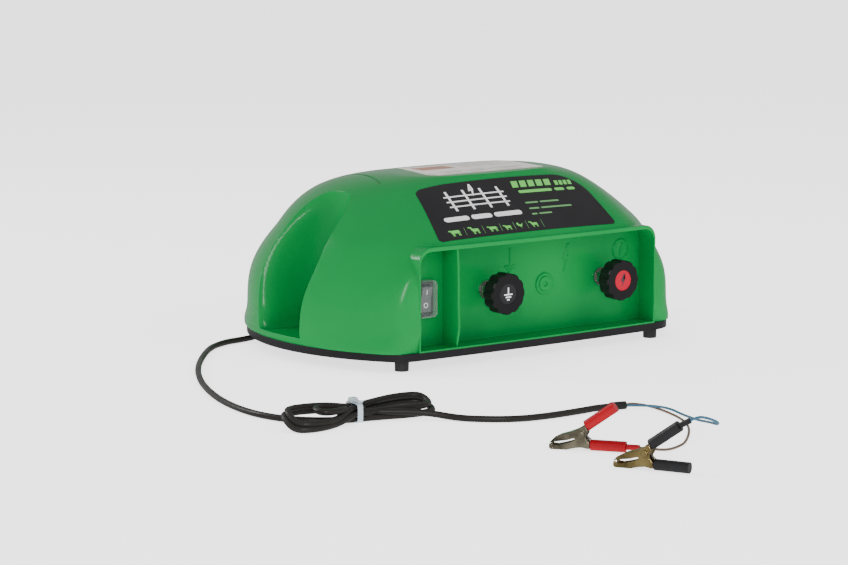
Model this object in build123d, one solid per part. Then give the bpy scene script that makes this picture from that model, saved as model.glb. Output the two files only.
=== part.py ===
from build123d import *
import math
import os

# Fence energizer: a domed plastic housing on a flat base plate, with two screw terminals and a
# rocker switch in a bay at the front, and a battery lead with two spring clips.
# Millimetres. +X is to the right along the front, +Y is backwards, +Z is up.
# The origin is the middle of the footprint, on the surface that the rubber feet stand on.

# ---- driving dimensions ----------------------------------------------------------------------
BODY_W = 380.0
BODY_D = 240.0
FRONT_Y = -115.0
FRONT_BOW = 2.4
FOOT_H = 9.4
RIM_H = 6.5
ROOF_H = 143.5
LIP_H = 94.5
SLOPE = 37.5
WALL = 2.8

SIDE_R = 176.0
CORNER_R = 31.0
ROOF_SIDE_R = 88.0
ROOF_CORNER_R = 46.0
ARCH_A = 126.0
ARCH_H = 22.0
REAR_B = 125.0
REAR_H = 62.0
REAR_N = 2.5

BAY_HALF = 127.0
BAY_DEPTH = 21.5
BAY_TOP = 91.0
BAY_CORNER_R = 11.0
SILL_H = 8.0
RIB_X = -88.5
RIB_T = 2.0

TERMINAL_MID_X = 20.4
TERMINAL_HALF = 63.1
TERMINAL_H = 49.7
STUD_R = 4.0
KNOB_R = 17.75
KNOB_LOBES = 12
KNOB_T = 13.0
HUB_R = 9.0
HUB_T = 8.8
SCALLOP_PITCH_R = 19.9
SCALLOP_R = 3.6
THREAD_FIT = 0.05

SWITCH_X = -108.3
SWITCH_H = 48.3
SWITCH_W = 18.4
SWITCH_L = 31.6
ROCKER_TILT = 8.0
ROCKER_PIN_R = 1.2

SCOOP_X = 122.0
SCOOP_OUT = 5.0
SCOOP_FLARE_DEPTH = 8.0
FLARE_AHEAD = 6.0
FLARE_BEHIND = 13.0
FRAME_T = 1.5
POST_R = 5.0
POST_BORE_L = 16.0
LIP_SOFT = 4.0

LABEL_T = 0.3
GROOVE_W = 1.8
GROOVE_T = 0.6
GASKET_DEPTH = 0.8
PLATE_HOLLOW = 3.5
FOOT_X = 136.0
FOOT_FRONT_Y = -100.0
FOOT_BACK_Y = 110.0
SCREW_R = 2.1
SCREW_CORE_R = 1.65

BEZEL_T = 1.8
BOOT_T = 8.2
WASHER_T = 1.6
WASHER_R = 8.0
NUT_AF = 13.0
NUT_T = 6.5
INLAY_R = 9.0
INLAY_T = 1.2
INLAY_RECESS = 1.6
INSERT_R = 5.6

BOARD_X = 35.0
BOARD_Y = 40.0
BOARD_LIFT = 6.0
BOARD_T = 1.6
BOARD_HALF_X = 70.0
BOARD_HALF_Y = 50.0
CAPACITOR_R = 20.0
CAPACITOR_L = 62.0
SINK_H = 35.0
CORE_X = -75.0
CORE_Y = 30.0
CORE_HALF_W = 33.0
CORE_HALF_D = 17.0
CORE_H = 55.0

CABLE_D = 5.2
CORE_D = 1.95
CABLE_X = -118.0
CABLE_Y = 89.0
CABLE_EXIT_Z = 5.6
HANK_X = -285.0
HANK_Y = -249.0
HANK_Z0 = 0.1
HANK_H = 15.6

CLIP_T = 0.9
PIVOT_S = 24.0
PIVOT_H = 12.0
RIVET_R = 1.5
HANDLE_TILT = 36.0
CLIPS = (("red_clip", (-223.3, -408.5), -52.0), ("black_clip", (-223.2, -482.2), -62.0))

BASE_Z = FOOT_H
COVER_Z = FOOT_H + RIM_H
MID_Y = FRONT_Y + BODY_D / 2
PANEL_Y = FRONT_Y + BAY_DEPTH
EARTH_X = TERMINAL_MID_X - TERMINAL_HALF
FENCE_X = TERMINAL_MID_X + TERMINAL_HALF
TERMINAL_Z = BASE_Z + TERMINAL_H
SWITCH_Z = BASE_Z + SWITCH_H
ROCKER_AXIS_Y = PANEL_Y + 1.0
NUT_Y = PANEL_Y - WASHER_T - NUT_T
CLAMP_Y = NUT_Y - WASHER_T
KNOB_FACE_Y = CLAMP_Y - HUB_T - KNOB_T
INSERT_Y = CLAMP_Y - 15.8
INNER_Y = PANEL_Y + WALL
STUD_END_Y = -81.5
BOARD_TOP = COVER_Z + BOARD_LIFT + BOARD_T
CORE_Z = COVER_Z + CORE_H / 2

LEVELS = (0, 20, 40, 58, 74, 84, 90, 94, 98, 103, 110, 117, 124, 130.5, 136, 139.4, 141.6, 142.9, ROOF_H)
# levels of the grip recess in each end: height, half width forwards and half width backwards
SCOOP_LEVELS = (
    (12, 24, 28), (26, 24, 30.5), (41, 25, 33), (56, 28, 36.5), (72, 31, 37), (87, 30.5, 34.5),
    (103, 28, 29.5), (112, 25.5, 25.5), (119, 22, 21), (125, 16, 15), (129, 9, 8), (130.6, 4.5, 4),
)
SCOOP_STEPS = (0, 0.07, 0.13, 0.2, 0.3, 0.45, 0.62, 0.78, 0.9, 0.97)


# ---- the housing's outer form ----------------------------------------------------------------
def section_sizes(h):
    """Half width, front, back, side radius and corner radius of the housing h above its base."""
    rise = min(max((h - ARCH_H) / (ROOF_H - ARCH_H), 0.0), 1.0)
    half = BODY_W / 2 - ARCH_A + ARCH_A * math.sqrt(1.0 - rise * rise)
    over = h - LIP_H
    front = FRONT_Y + 0.5 * (over + math.hypot(over, LIP_SOFT)) / math.tan(math.radians(SLOPE))
    lean = min(max((h - REAR_H) / (ROOF_H - REAR_H), 0.0), 1.0)
    back = FRONT_Y + BODY_D - REAR_B + REAR_B * (1.0 - lean ** REAR_N) ** (1.0 / REAR_N)
    t = max(0.0, (h - REAR_H) / (ROOF_H - REAR_H))
    depth = back - front
    corner = min(CORNER_R + (ROOF_CORNER_R - CORNER_R) * t, 0.45 * depth)
    side = max(SIDE_R + (ROOF_SIDE_R - SIDE_R) * t, depth / 2 + 3.0)
    return half, front, back, side, corner


def section(h, z, inset=0.0):
    """The outline at height h, set in by inset and drawn at height z."""
    half, front, back, side, corner = section_sizes(h)
    half, front, back = half - inset, front + inset, back - inset
    side, corner = side - inset, corner - inset
    mid = (front + back) / 2
    cx = side - half
    off = back - corner - mid
    qx = cx - math.sqrt((side - corner) ** 2 - off ** 2)
    turn = math.atan2(off, cx - qx)
    tx, ty = cx - side * math.cos(turn), side * math.sin(turn)
    lean = (turn + math.pi / 2) / 2
    mx, my = qx - corner * math.cos(lean), off + corner * math.sin(lean)
    with BuildSketch(Plane.XY.offset(z)) as sk:
        with BuildLine():
            ThreePointArc((-qx, front), (0, front - FRONT_BOW), (qx, front))
            ThreePointArc((qx, front), (mx, mid - my), (tx, mid - ty))
            ThreePointArc((tx, mid - ty), (-half, mid), (tx, mid + ty))
            ThreePointArc((tx, mid + ty), (mx, mid + my), (qx, back))
            ThreePointArc((qx, back), (0, back + FRONT_BOW), (-qx, back))
            ThreePointArc((-qx, back), (-mx, mid + my), (-tx, mid + ty))
            ThreePointArc((-tx, mid + ty), (half, mid), (-tx, mid - ty))
            ThreePointArc((-tx, mid - ty), (-mx, mid - my), (-qx, front))
        make_face()
    return sk.sketch


def dome(inset=0.0, lower=0.0):
    """The closed outer form, set in by inset, with its roof lowered by lower."""
    scale = (ROOF_H - lower) / ROOF_H
    return loft([section(min(h, ROOF_H - 0.001), BASE_Z + h * scale, inset) for h in LEVELS])


def block(x0, x1, y0, y1, z0, z1):
    return Pos((x0 + x1) / 2, (y0 + y1) / 2, (z0 + z1) / 2) * Box(x1 - x0, y1 - y0, z1 - z0)


def rod(p, axis, r, length):
    """A cylinder of radius r from point p along axis."""
    plane = Plane(origin=p, z_dir=axis)
    return extrude(plane * Circle(r), length)


def ring(p, axis, r_out, r_in, length):
    return rod(p, axis, r_out, length) - rod(p, axis, r_in, length)


# ---- housing cover ---------------------------------------------------------------------------
def arch(half, z0, z1, corner, y, depth):
    """An upright block with rounded upper corners, from the plane at y forwards by depth."""
    with BuildSketch(Plane.XZ.offset(-y)) as sk:
        with Locations((0, (z0 + z1) / 2)):
            Rectangle(2 * half, z1 - z0)
        fillet(sk.vertices().sort_by(Axis.Y)[-2:], corner)
    return extrude(sk.sketch, depth)


def bay_cut():
    """The space of the terminal bay, open to the front."""
    bottom, top = BASE_Z + SILL_H, BASE_Z + BAY_TOP
    return arch(BAY_HALF, bottom, top, BAY_CORNER_R, PANEL_Y, BAY_DEPTH + 12.0)


def bay_frame():
    """The surround of the bay, standing out of the dome, with its front on the footprint's edge."""
    half = BAY_HALF + FRAME_T
    top = BASE_Z + LIP_H
    frame = arch(half, COVER_Z, top, BAY_CORNER_R + FRAME_T, INNER_Y, BAY_DEPTH + 12.0)
    return frame & extrude(section(0, BASE_Z), LIP_H + 5.0)


def scoop_section(side, h, ahead, behind, grow):
    """One level of the grip recess: a round inner end and a mouth that flares, most at its back."""
    reach = section_sizes(h)[0] + SCOOP_OUT
    long = reach - SCOOP_X + grow
    front = []
    back = []
    for step in SCOOP_STEPS:
        depth = step * long - SCOOP_OUT
        close = (1 - step**3) ** (1 / 3)
        flare = math.exp(-max(depth, -2.0) / SCOOP_FLARE_DEPTH)
        x = side * (reach - step * long)
        front.append((x, MID_Y - close * (ahead + grow + FLARE_AHEAD * flare)))
        back.append((x, MID_Y + close * (behind + grow + FLARE_BEHIND * flare)))
    tip = (side * (reach - long), MID_Y)
    return front + [tip] + back[::-1]


def scoop(side, grow=0.0):
    """The grip recess in one end, with a level shelf; grow gives the wall around it."""
    faces = []
    for i, (h, ahead, behind) in enumerate(SCOOP_LEVELS):
        z = BASE_Z + h - (grow if i == 0 else 0.0)
        points = scoop_section(side, h, ahead, behind, grow)
        with BuildSketch(Plane.XY.offset(z)) as sk:
            with BuildLine():
                Spline(*points)
                Line(points[-1], points[0])
            make_face()
        faces.append(sk.sketch)
    return loft(faces)


def blank_boss():
    """The stepped round blank between the two terminals."""
    at = (TERMINAL_MID_X, PANEL_Y, TERMINAL_Z - 0.7)
    boss = rod(at, (0, -1, 0), 9.2, 1.2) + rod(at, (0, -1, 0), 6.4, 2.2)
    return boss - rod((at[0], PANEL_Y - 2.2, at[2]), (0, 1, 0), 2.2, 1.0)


def flat_shape(points, proud=0.5):
    """A small raised mark on the bay's back panel, from its outline in x and z."""
    with BuildSketch(Plane.XZ.offset(-PANEL_Y - 0.2)) as sk:
        with BuildLine():
            Polyline(*points, close=True)
        make_face()
    return extrude(sk.sketch, proud + 0.2)


def bar(x0, x1, z0, z1):
    return flat_shape([(x0, z0), (x1, z0), (x1, z1), (x0, z1)])


def bolt_mark(x, z, size):
    """A lightning flash, size high, about (x, z)."""
    s = size / 24.0
    flash = [(1.5, 12), (-3.0, -1.0), (-0.4, -0.6), (-2.2, -12), (3.2, 2.0), (0.6, 1.6), (4.0, 12)]
    return flat_shape([(x + a * s, z + b * s) for a, b in flash])


def panel_marks():
    """Raised earth, fence and output marks above and to the right of their terminals."""
    dx, dz = 25.5, 23.0
    ex, z = EARTH_X + dx, TERMINAL_Z + dz
    marks = bar(ex - 0.6, ex + 0.6, z - 5.0, z + 10.5)
    for drop, half in ((-5.0, 5.6), (-7.6, 3.6), (-10.2, 1.6)):
        marks += bar(ex - half, ex + half, z + drop - 0.6, z + drop + 0.6)
    marks += bolt_mark(TERMINAL_MID_X + dx - 2.0, z - 3.0, 24.0)
    fx = FENCE_X + dx - 3.0
    marks += ring((fx, PANEL_Y + 0.2, z - 1.0), (0, -1, 0), 9.2, 8.2, 0.7)
    return marks + bolt_mark(fx, z - 1.0, 11.0)


def screw_posts():
    return [(-150.0, -74.0), (150.0, -74.0), (-96.0, 98.0), (96.0, 98.0)]


def roof_groove(side):
    """A shallow arc pressed into the roof beside the label."""
    points = [(100.7, -19), (95.2, -2), (89.8, 18), (87.3, 36), (88.1, 48), (90.5, 57), (94.5, 63.5)]
    line = Spline(*[(side * x, y) for x, y in points])
    band = trace(line, GROOVE_W)
    return extrude(Pos(0, 0, BASE_Z + LIP_H + 12) * band, ROOF_H)


def housing_cover():
    outer = dome()
    top = BASE_Z + BAY_TOP
    sill = BASE_Z + SILL_H
    wall_x = BAY_HALF + WALL
    shell = outer - dome(WALL, WALL)
    bay_wall = block(-wall_x, wall_x, FRONT_Y - 6, PANEL_Y + WALL, COVER_Z, top + 3.2)
    shell += bay_wall & outer
    shell += bay_frame()
    for side in (-1, 1):
        shell += scoop(side, WALL) & outer
    for x, y in screw_posts():
        shell += rod((x, y, COVER_Z), (0, 0, 1), POST_R, ROOF_H) & outer
    shell -= block(-220, 220, -160, 160, BASE_Z - 5, COVER_Z)
    shell -= bay_cut()
    for side in (-1, 1):
        shell -= scoop(side)
        shell -= roof_groove(side) - dome(GROOVE_T, GROOVE_T)
    rib_x0, rib_x1 = RIB_X - RIB_T / 2, RIB_X + RIB_T / 2
    shell += block(rib_x0, rib_x1, FRONT_Y - FRONT_BOW, PANEL_Y + 1, sill - 1.5, top + 1) & outer
    shell += blank_boss() + panel_marks()
    for x in (EARTH_X, FENCE_X):
        shell -= rod((x, PANEL_Y - 5, TERMINAL_Z), (0, 1, 0), STUD_R + 0.2, 20.0)
    x, z = SWITCH_X, SWITCH_Z
    shell -= block(x - 6.6, x + 6.6, PANEL_Y - 5, PANEL_Y + 10, z - 13.5, z + 13.5)
    for x, y in screw_posts():
        shell -= rod((x, y, COVER_Z), (0, 0, 1), SCREW_CORE_R, POST_BORE_L)
    return shell


def slope_point(x, up):
    """A point on the sloping front, up millimetres above its lower edge."""
    a = math.radians(SLOPE)
    return (x, FRONT_Y + up * math.cos(a), BASE_Z + LIP_H + up * math.sin(a))


def label_film(prism, shift):
    """The film that a prism cuts between the dome and the same dome moved outwards."""
    form = dome()
    film = (prism & (Pos(*shift) * form)) - form
    return film.solids().sort_by(SortBy.VOLUME)[-1]


def front_label():
    """The dark label on the sloping front, with one large rounded corner at its upper right."""
    a = math.radians(SLOPE)
    plane = Plane(origin=slope_point(0, 0), x_dir=(1, 0, 0), z_dir=(0, -math.sin(a), math.cos(a)))
    with BuildSketch() as sk:
        with BuildLine():
            Polyline((-103, 6.3), (88, 6.3), (80, 71.8), (-91, 71.8), close=True)
        make_face()
        fillet(sk.vertices().sort_by(Axis.Y)[:2], 4.0)
        fillet(sk.vertices().group_by(Axis.Y)[-1].sort_by(Axis.X)[:1], 8.0)
        fillet(sk.vertices().group_by(Axis.Y)[-1].sort_by(Axis.X)[-1:], 30.0)
    prism = extrude(plane * sk.sketch, 6.0, both=True)
    return label_film(prism, plane.z_dir * LABEL_T)


def top_label():
    """The pale label on the roof, with its front corners cut back."""
    outline = [(-49, 28), (-61, -32), (-55, -41), (60, -41), (65, 17), (60, 28)]
    with BuildSketch(Plane.XY.offset(BASE_Z + ROOF_H - 6)) as sk:
        with BuildLine():
            Polyline(*outline, close=True)
        make_face()
    prism = extrude(sk.sketch, 12.0)
    return label_film(prism, Vector(0, 0, LABEL_T))


# ---- base plate, gasket, feet and screws -------------------------------------------------------
def foot_places():
    return [(-FOOT_X, FOOT_FRONT_Y), (FOOT_X, FOOT_FRONT_Y), (-FOOT_X, FOOT_BACK_Y), (FOOT_X, FOOT_BACK_Y)]


def gasket_ring():
    top = COVER_Z - GASKET_DEPTH
    return extrude(section(0, top, 0.8) - section(0, top, 2.0), GASKET_DEPTH)


def base_plate():
    hollow = extrude(section(0, BASE_Z, 3.0), PLATE_HOLLOW)
    for x, y in foot_places():
        hollow -= rod((x, y, BASE_Z), (0, 0, 1), 9.0, PLATE_HOLLOW)
    plate = extrude(section(0, BASE_Z), RIM_H) - hollow - gasket_ring()
    for x, y in board_posts():
        plate += rod((x, y, COVER_Z - 1), (0, 0, 1), 3.5, BOARD_LIFT + 1)
        plate -= rod((x, y, COVER_Z - 1), (0, 0, 1), 1.25, BOARD_LIFT + 2)
    for x, y in screw_posts():
        plate -= rod((x, y, BASE_Z), (0, 0, 1), SCREW_R, RIM_H + 1)
    for x, y in foot_places():
        plate -= rod((x, y, BASE_Z), (0, 0, 1), 2.5, 3.0)
    return plate - tube("plate bore", SUPPLY_LEAD[:3], CABLE_D)


def rubber_feet():
    feet = []
    for x, y in foot_places():
        pad = Pos(x, y, FOOT_H / 2) * Cone(5.9, 6.2, FOOT_H)
        feet.append(pad + rod((x, y, FOOT_H - 0.5), (0, 0, 1), 2.5, 3.1))
    return Compound(feet)


def cover_screws():
    """Pan head screws, driven up through the plate into the cover's posts."""
    seat = BASE_Z + PLATE_HOLLOW
    screws = []
    for x, y in screw_posts():
        head = rod((x, y, seat - 2.4), (0, 0, 1), 3.8, 2.4)
        slot = Pos(x, y, seat - 2.2) * (Box(4.2, 1.0, 1.6) + Box(1.0, 4.2, 1.6))
        shank = rod((x, y, seat), (0, 0, 1), SCREW_CORE_R, 14.0)
        screws.append(head + shank - slot)
    return Compound(screws)


# ---- rocker switch -----------------------------------------------------------------------------
def slab(x, z, width, height, y0, y1, corner):
    """A plate with rounded corners, upright and facing the front, between y0 and y1."""
    with BuildSketch(Plane.XZ.offset(-y1)) as sk:
        with Locations((x, z)):
            RectangleRounded(width, height, corner)
    return extrude(sk.sketch, y1 - y0)


def switch_body():
    x, z = SWITCH_X, SWITCH_Z
    body = slab(x, z, SWITCH_W - 2.0, SWITCH_L - 2.0, PANEL_Y - BEZEL_T, PANEL_Y, 2.5)
    body += slab(x, z, 13.0, 26.8, PANEL_Y, PANEL_Y + 20, 1.0)
    body -= slab(x, z, 10.6, 24.8, PANEL_Y - BEZEL_T, PANEL_Y + 9, 0.6)
    pin_at = (x - 6.1, ROCKER_AXIS_Y, z)
    body -= rod(pin_at, (1, 0, 0), ROCKER_PIN_R + 0.05, 12.2)
    for dz in (-8.0, 0.0, 8.0):
        body += block(x - 2.4, x + 2.4, PANEL_Y + 20, PANEL_Y + 28, z + dz - 0.4, z + dz + 0.4)
    return body


def rocker():
    """The switch's rocker about its pivot, resting with its lower half pressed in."""
    outline = [(-10.9, 5.1), (0, 3.9), (10.9, 5.1), (10.2, -0.5), (3, -5.5), (-3, -5.5), (-10.2, -0.5)]
    turn = math.radians(ROCKER_TILT)
    points = []
    for up, out in outline:
        z = up * math.cos(turn) - out * math.sin(turn)
        y = out * math.cos(turn) + up * math.sin(turn)
        points.append((ROCKER_AXIS_Y - y, SWITCH_Z + z))
    with BuildSketch(Plane.YZ.offset(SWITCH_X - 5.1)) as sk:
        with BuildLine():
            Polyline(*points, close=True)
        make_face()
    pin = rod((SWITCH_X - 6.0, ROCKER_AXIS_Y, SWITCH_Z), (1, 0, 0), ROCKER_PIN_R, 12.0)
    return extrude(sk.sketch, 10.2) + pin


def splash_cover():
    """The clear flexible boot over the switch."""
    x, z = SWITCH_X, SWITCH_Z
    front = PANEL_Y - BOOT_T
    outer = slab(x, z, SWITCH_W, SWITCH_L, front, PANEL_Y, 4.0)
    outer = fillet(outer.faces().sort_by(Axis.Y)[0].edges(), 2.4)
    inner = slab(x, z, SWITCH_W - 1.8, SWITCH_L - 1.8, front + 0.9, PANEL_Y, 2.4)
    return outer - inner


# ---- terminals ---------------------------------------------------------------------------------
def stud(x):
    return rod((x, KNOB_FACE_Y + 4.0, TERMINAL_Z), (0, 1, 0), STUD_R, STUD_END_Y - KNOB_FACE_Y - 4.0)


def hex_nut(x, y0, length):
    hexagon = RegularPolygon(NUT_AF / math.sqrt(3), 6)
    prism = extrude(Plane(origin=(x, y0, TERMINAL_Z), z_dir=(0, 1, 0)) * hexagon, length)
    return prism - rod((x, y0, TERMINAL_Z), (0, 1, 0), STUD_R, length)


def washer(x, y0, bore):
    return ring((x, y0, TERMINAL_Z), (0, 1, 0), WASHER_R, bore, WASHER_T)


def terminal_nuts():
    nuts = []
    for x in (EARTH_X, FENCE_X):
        nuts.append(hex_nut(x, NUT_Y, NUT_T))
        nuts.append(hex_nut(x, INNER_Y + WASHER_T, 5.5))
    return Compound(nuts)


def terminal_washers():
    places = [(x, y) for x in (EARTH_X, FENCE_X) for y in (PANEL_Y - WASHER_T, INNER_Y)]
    return Compound([washer(x, y, STUD_R) for x, y in places])


def clamp_washer(x):
    return washer(x, CLAMP_Y, STUD_R + THREAD_FIT)


def knob(x):
    """A knob with a round hub behind and a ring of shallow scallops round its head."""
    head = rod((x, KNOB_FACE_Y, TERMINAL_Z), (0, 1, 0), KNOB_R, KNOB_T)
    head = chamfer(head.edges().filter_by(GeomType.CIRCLE), 1.0)
    for i in range(KNOB_LOBES):
        a = 2 * math.pi * (i + 0.5) / KNOB_LOBES
        p = (x + SCALLOP_PITCH_R * math.cos(a), KNOB_FACE_Y, TERMINAL_Z + SCALLOP_PITCH_R * math.sin(a))
        head -= rod(p, (0, 1, 0), SCALLOP_R, KNOB_T)
    body = head + rod((x, KNOB_FACE_Y + KNOB_T, TERMINAL_Z), (0, 1, 0), HUB_R, HUB_T)
    body -= rod((x, KNOB_FACE_Y, TERMINAL_Z), (0, 1, 0), INLAY_R, INLAY_RECESS)
    body -= rod((x, KNOB_FACE_Y + 3.5, TERMINAL_Z), (0, 1, 0), STUD_R + THREAD_FIT, KNOB_T)
    return body - rod((x, INSERT_Y, TERMINAL_Z), (0, 1, 0), INSERT_R, CLAMP_Y - INSERT_Y)


def knob_inlay(x):
    return rod((x, KNOB_FACE_Y + INLAY_RECESS - INLAY_T, TERMINAL_Z), (0, 1, 0), INLAY_R, INLAY_T)


def knob_insert(x):
    return ring((x, INSERT_Y, TERMINAL_Z), (0, 1, 0), INSERT_R, STUD_R + THREAD_FIT, CLAMP_Y - INSERT_Y)


# ---- inside ------------------------------------------------------------------------------------
def board_posts():
    dx, dy = BOARD_HALF_X - 8.0, BOARD_HALF_Y - 8.0
    return [(BOARD_X + sx * dx, BOARD_Y + sy * dy) for sx in (-1, 1) for sy in (-1, 1)]


def circuit_board():
    z = COVER_Z + BOARD_LIFT
    x0, x1 = BOARD_X - BOARD_HALF_X, BOARD_X + BOARD_HALF_X
    y0, y1 = BOARD_Y - BOARD_HALF_Y, BOARD_Y + BOARD_HALF_Y
    board = block(x0, x1, y0, y1, z, z + BOARD_T)
    for x, y in board_posts():
        board -= rod((x, y, z), (0, 0, 1), 1.5, BOARD_T)
    return board


def board_screws():
    screws = []
    for x, y in board_posts():
        head = rod((x, y, BOARD_TOP), (0, 0, 1), 2.6, 1.8)
        screws.append(head + rod((x, y, BOARD_TOP - 6), (0, 0, 1), 1.25, 6.0))
    return Compound(screws)


def transformer_core():
    x0, x1 = CORE_X - CORE_HALF_W, CORE_X + CORE_HALF_W
    core = block(x0, x1, CORE_Y - CORE_HALF_D, CORE_Y + CORE_HALF_D, COVER_Z, COVER_Z + CORE_H)
    for side in (-1, 1):
        x = CORE_X + side * 16.5
        core -= block(x - 5.5, x + 5.5, CORE_Y - 20, CORE_Y + 20, CORE_Z - 16.5, CORE_Z + 16.5)
    return core


def transformer_winding():
    coil = Pos(CORE_X, CORE_Y, CORE_Z) * Box(43.6, 54.0, 32.6)
    coil = fillet(coil.edges().filter_by(Axis.Z), 5.0)
    return coil - Pos(CORE_X, CORE_Y, CORE_Z) * Box(22.4, 34.4, 33.0)


def storage_capacitors():
    return Compound([rod((x, 65, BOARD_TOP), (0, 0, 1), CAPACITOR_R, CAPACITOR_L) for x in (30.0, 78.0)])


def heat_sink():
    sink = block(5, 65, -4, 0, BOARD_TOP, BOARD_TOP + SINK_H)
    for i in range(7):
        x = 5 + i * 9.6
        sink += block(x, x + 2.4, -1, 16, BOARD_TOP, BOARD_TOP + SINK_H)
    return sink


def thyristor():
    body = block(27, 43, -9, -4, BOARD_TOP + 6, BOARD_TOP + 26)
    for dx in (-5.0, 0.0, 5.0):
        body += block(34.6 + dx, 35.4 + dx, -7, -6, BOARD_TOP, BOARD_TOP + 7)
    return body


def terminal_block():
    return block(82, 102, 8, 20, BOARD_TOP, BOARD_TOP + 14)


# ---- cables ------------------------------------------------------------------------------------
def tube(name, points, d):
    """A round cable of diameter d along straight runs and tangent arcs; prints its radii."""
    pts = [Vector(*p) for p in points]
    radii = []
    for a, b, c in zip(pts, pts[1:], pts[2:]):
        turn = math.radians((b - a).get_angle(c - b))
        radii.append(0.45 * min((b - a).length, (c - b).length) / math.tan(turn / 2))
    line = FilletPolyline(*pts, radius=radii)
    solid = sweep(Plane(origin=pts[0], z_dir=pts[1] - pts[0]) * Circle(d / 2), path=line)
    share = solid.volume / (math.pi * d * d / 4 * line.length)
    print(f"{name}: length {line.length:.0f}, volume ratio {share:.3f}, smallest radius {min(radii):.1f}")
    print("   radii", " ".join(f"{r:.0f}" for r in radii))
    return solid


EARTH_LEAD = [(-68, 3, 45), (-65, -20, 47), (-54, -42, 54), (-42.7, -60, 59.1), (-42.7, -81.5, 59.1)]
FENCE_LEAD = [
    (-58, 3, 52), (-50, -14, 55), (-22, -34, 62), (20, -46, 66), (60, -50, 64), (83.5, -62, 59.1),
    (83.5, -81.5, 59.1),
]
SUPPLY_LEAD = [
    (-142, 89, 5.6), (-118, 89, 5.6), (-118, 89, 34), (-84, 72, 36), (-46, 60, 36), (-22, 40, 34),
    (16, 31, 32), (56, 31, 31), (92, 37, 30.5), (92, 20, 30.5),
]
LEAD_IN = [
    (-142, 89, 5.6), (-152, 89, 5.6), (-164, 89.6, 3.6), (-176, 90.4, 2.7), (-190, 89, 2.7),
    (-214, 76, 2.7), (-243, 43, 2.7), (-276, -2, 2.7), (-303, -51, 2.7), (-320, -92, 2.7),
    (-332, -130, 2.7), (-338, -165, 2.7), (-338, -195, 2.7), (-330, -222, 4.0), (-316, -240, 6.0),
]
LEAD_OUT = [
    (-262, -258, 6.5), (-248, -268, 6.5), (-234, -277, 5.0), (-224, -287, 2.9), (-218, -298, 2.7),
    (-210, -306.5, 2.7), (-199, -316, 2.7), (-185, -323.5, 2.7), (-168, -327, 2.7), (-150, -328, 2.7),
    (-129, -327.5, 2.7), (-110, -328, 3.3), (-92, -332, 3.3),
]
WIRE_BROWN = [
    (-91.75, -330.9, 3.3), (-85.5, -331.6, 3.0), (-78, -326, 2.2), (-70.5, -328.5, 1.2), (-68, -338, 1),
    (-69.5, -352, 1), (-73, -368, 1), (-79, -387, 1), (-89, -407, 1), (-107, -430, 1), (-135, -457, 1),
    (-149, -464, 1), (-158, -467.5, 1.3), (-167, -470.3, 2.2), (-175.6, -468.8, 3.6),
    (-182.4, -460.9, 4.1),
]
WIRE_BLUE = [
    (-92.25, -333.1, 3.3), (-86, -334.9, 3.1), (-78.5, -337.5, 2.5), (-73, -344, 2.8),
    (-70, -354, 3.3), (-71.5, -369, 3.8), (-80, -386, 5.2), (-90, -405, 7.4), (-101, -425.5, 10.2),
    (-114.5, -448, 14), (-129.5, -472, 19), (-146.5, -498.5, 24.5), (-163, -521.5, 29.5),
    (-175, -537, 34), (-184, -545, 38), (-191, -543.5, 41), (-194.1, -537, 41.4),
    (-196.75, -532, 38.2),
]


def cable_gland():
    """The strain relief under the plate: a block with a tapered boot towards the left."""
    body = block(CABLE_X - 10, CABLE_X + 14, CABLE_Y - 8, CABLE_Y + 8, 0.8, BASE_Z + PLATE_HOLLOW)
    boot = Plane(origin=(CABLE_X - 17, CABLE_Y, CABLE_EXIT_Z), z_dir=(-1, 0, 0)) * Cone(4.6, 3.5, 14.0)
    bore = tube("gland bore", SUPPLY_LEAD[:3], CABLE_D)
    return body + boot - bore


def hank_outline():
    local = [(-70, 0), (-60, 22), (-34, 26), (-10, 12), (10, 11), (36, 20), (60, 15), (70, 0)]
    mirrored = [(x, -y) for x, y in reversed(local[1:-1])]
    return [(HANK_X + x, HANK_Y + y) for x, y in local + mirrored]


def cable_hank():
    """The outer shape of the tied surplus cable: three turns, drawn in at the tie."""
    with BuildSketch(Plane.XY.offset(HANK_Z0)) as sk:
        with BuildLine():
            Spline(*hank_outline(), periodic=True)
        make_face()
    return extrude(sk.sketch, HANK_H)


def cable_tie():
    w, d, h = 4.0, 28.0, HANK_H + 1.8
    outer = Pos(HANK_X, HANK_Y, h / 2) * Box(w, d, h)
    head = Pos(HANK_X - 0.5, HANK_Y - d / 2 + 2.6, h + 1.4) * Box(5.0, 5.2, 3.4)
    return (outer + head) - cable_hank()


def cable_end_sleeve():
    """Shrink tubing over the end of the sheath, where the two cores part."""
    end, before = Vector(*LEAD_OUT[-1]), Vector(*LEAD_OUT[-2])
    way = (end - before).normalized()
    solid = rod(end - way * 9.0, way, 3.2, 13.0) - rod(end - way * 9.0, way, CABLE_D / 2, 9.0)
    return solid - tube("bore", WIRE_BROWN[:3], CORE_D) - tube("bore", WIRE_BLUE[:3], CORE_D)


# ---- spring clips ------------------------------------------------------------------------------
LOWER_JAW = [
    (0, 1.2), (1.5, 0), (13, 0.2), (19, 1.8), (24, 2.4), (30, 1.6), (30, 5.6), (27.5, 9), (27.5, 13.5),
    (24, 15), (20.5, 13.5), (20, 9), (17, 6.6), (13, 5.2), (6, 3.4), (2.5, 3.6), (1, 4.6), (0, 3.8),
]
UPPER_JAW = [
    (0.3, 4.9), (3, 8), (8, 10.6), (14, 12.6), (19, 14.6), (27, 18.6), (29, 15.2), (28, 11.5),
    (25, 8.8), (21, 8.6), (18, 9), (14, 7.6), (8, 6.6), (3, 5.7),
]


def profile(points, width):
    """A side view, along and up, made into a solid of this width about the middle plane."""
    with BuildSketch(Plane.XZ) as sk:
        with BuildLine():
            Polyline(*points, close=True)
        make_face()
    return extrude(sk.sketch, width / 2, both=True)


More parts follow.
